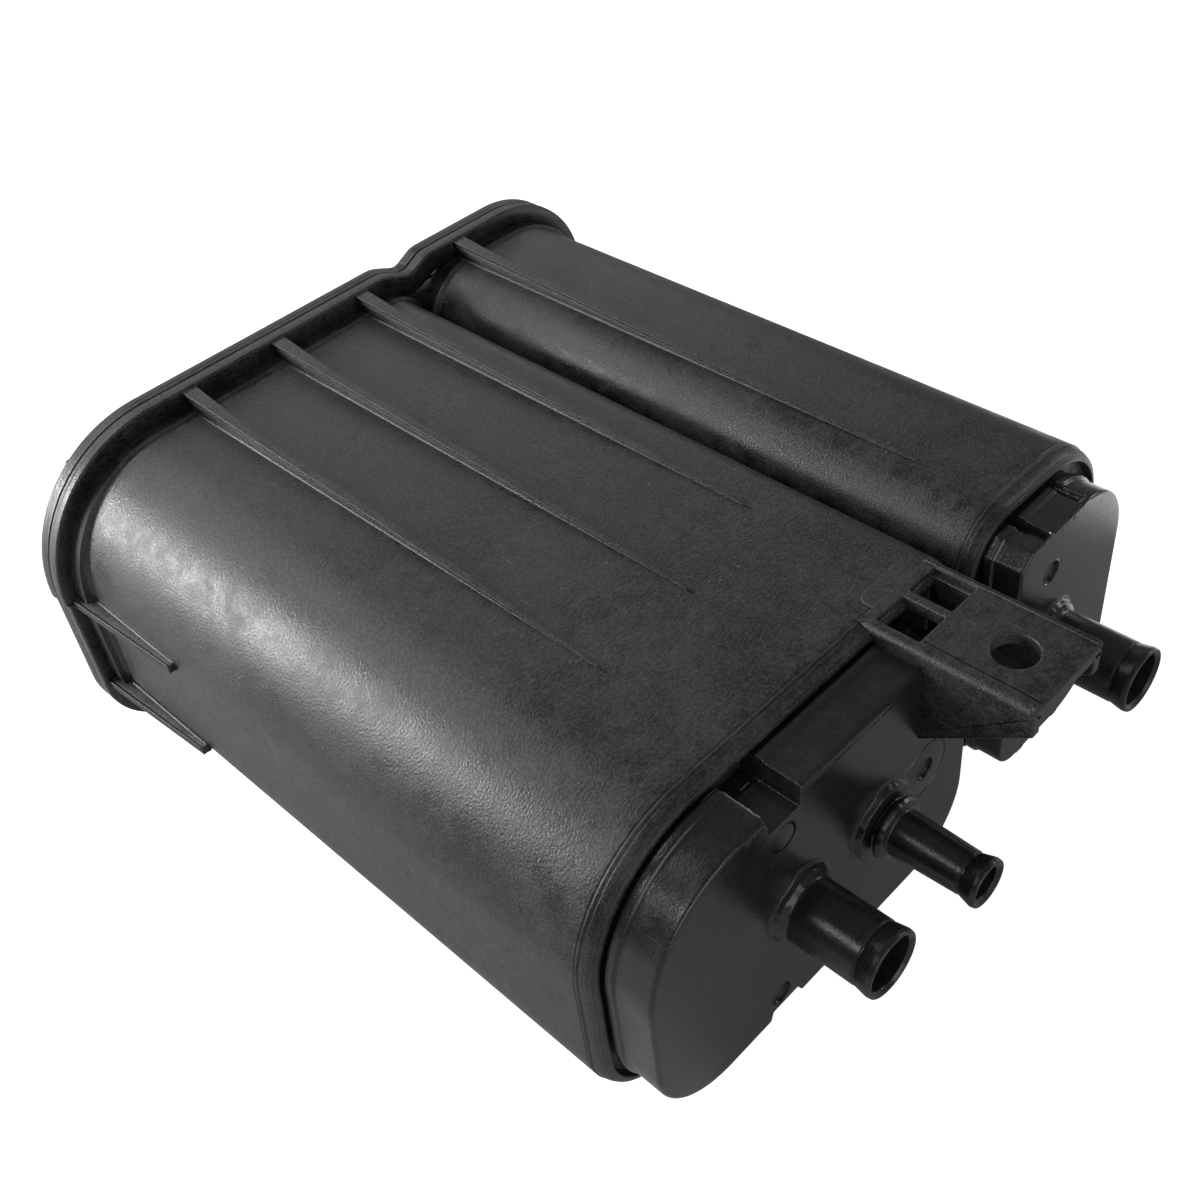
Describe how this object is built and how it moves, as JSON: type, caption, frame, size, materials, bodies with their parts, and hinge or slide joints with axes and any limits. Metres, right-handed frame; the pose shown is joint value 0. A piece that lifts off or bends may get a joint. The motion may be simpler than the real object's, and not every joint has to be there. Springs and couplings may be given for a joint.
{
  "type": "charcoal canister",
  "caption": "Charcoal canister for a fuel system: a moulded lobed housing with hose ports and a bolted bracket, and a welded end cover, holding carbon beds, filters, plates and springs.",
  "frame": {"origin": "under the middle of the part's bounding box, on the plane of the flange's lowest edge", "axes": "+Z from the underside to the top that carries the bracket, +Y along the canister from the hose ports to the end cover, +X from the main lobe to the vent lobe"},
  "size_m": [0.2434, 0.3098, 0.1168],
  "materials": {
    "housing_nylon": "satin black moulded nylon with a fine grain, worn a little grey on its edges",
    "cover_nylon": "satin black moulded nylon",
    "inner_nylon": "plain dark grey moulded nylon",
    "carbon_granules": "dull black granules of activated carbon",
    "filter_foam": "grey open-cell foam",
    "spring_steel": "bare drawn spring wire"
  },
  "bodies": {
    "root": {"canister_housing": "housing_nylon", "end_cover": "cover_nylon", "main_carbon_bed": "carbon_granules", "vent_carbon_bed": "carbon_granules", "tank_port_grid": "inner_nylon", "purge_port_grid": "inner_nylon", "vent_port_grid": "inner_nylon", "tank_port_filter": "filter_foam", "purge_port_filter": "filter_foam", "vent_port_filter": "filter_foam", "main_rear_filter": "filter_foam", "vent_rear_filter": "filter_foam", "main_pressure_plate": "inner_nylon", "vent_pressure_plate": "inner_nylon", "main_spring_left": "spring_steel", "main_spring_right": "spring_steel", "vent_spring": "spring_steel"}
  },
  "joints": []
}
